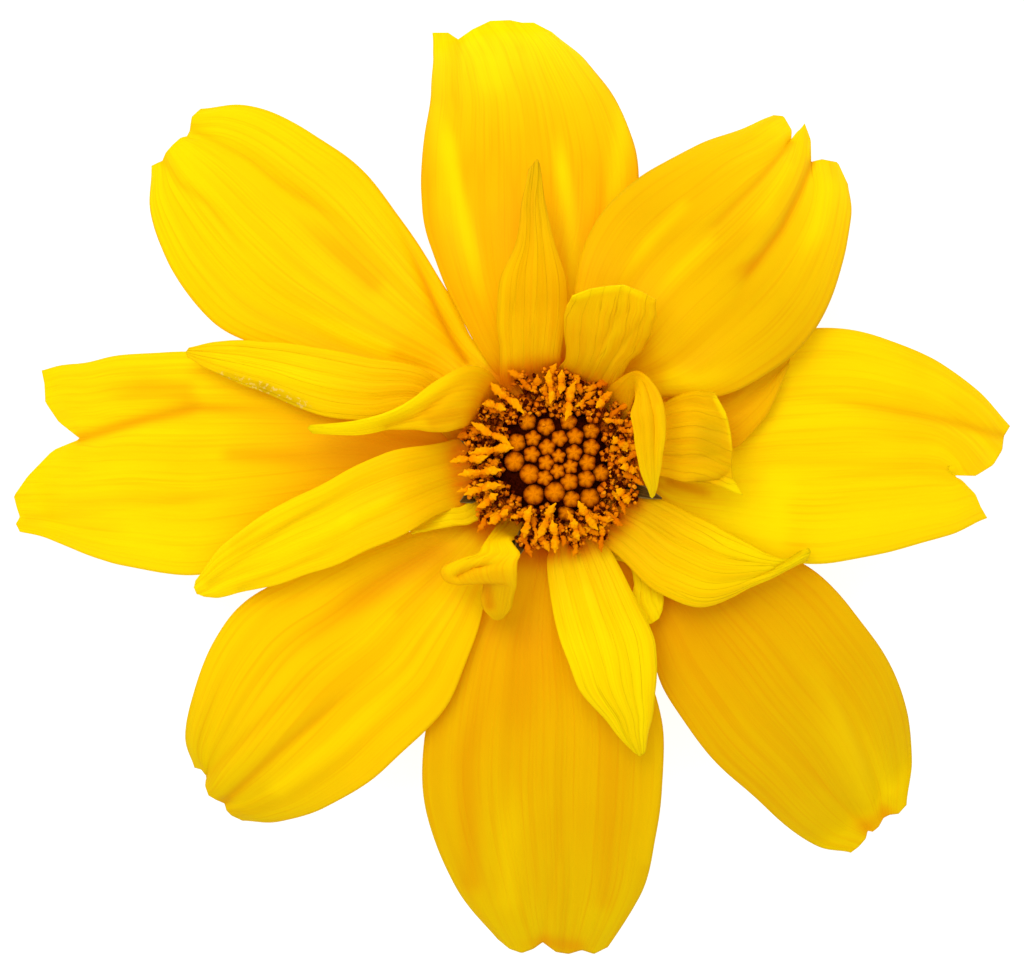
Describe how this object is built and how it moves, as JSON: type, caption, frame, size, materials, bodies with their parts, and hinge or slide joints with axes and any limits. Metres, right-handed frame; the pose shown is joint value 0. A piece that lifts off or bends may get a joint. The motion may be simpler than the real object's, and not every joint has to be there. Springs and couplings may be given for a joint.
{
  "type": "bidens flower head",
  "caption": "Semi-double yellow bidens bloom, cut close below the head: broad notched ray petals round a smaller inner row and a domed orange disc.",
  "frame": {"origin": "middle of the bloom's footprint, on the surface that it rests on", "axes": "+Z up, the way the disc faces; +X along the longest spread of the petals; +Y up in the picture"},
  "size_m": [0.0502, 0.047, 0.0151],
  "materials": {
    "ray_petal": "soft satin petal, lemon at the tip and orange at the base",
    "inner_petal": "soft satin petal, golden, with fine brown veins",
    "disc_bud": "waxy orange closed buds on a maroon ground",
    "disc_floret": "matt, downy orange florets with maroon anthers",
    "bract": "matt grey-green leaf",
    "stem": "smooth green stalk, pale where it is cut"
  },
  "bodies": {
    "root": {"stem": "stem", "outer_bracts": "bract", "bract_cup": "bract", "disc_buds": "disc_bud", "disc_open_florets": "disc_floret", "ray_north": "ray_petal", "ray_northeast": "ray_petal", "ray_east": "ray_petal", "ray_southeast": "ray_petal", "ray_south": "ray_petal", "ray_southwest": "ray_petal", "ray_west": "ray_petal", "ray_northwest": "ray_petal", "petal_north": "inner_petal", "petal_north_northeast": "inner_petal", "petal_east_northeast": "inner_petal", "petal_east": "inner_petal", "petal_east_lower": "inner_petal", "petal_southeast": "inner_petal", "petal_southeast_lower": "inner_petal", "petal_south": "inner_petal", "petal_south_southwest": "inner_petal", "petal_west_southwest": "inner_petal", "petal_west_southwest_lower": "inner_petal", "petal_west": "inner_petal", "petal_west_northwest": "inner_petal"}
  },
  "joints": []
}
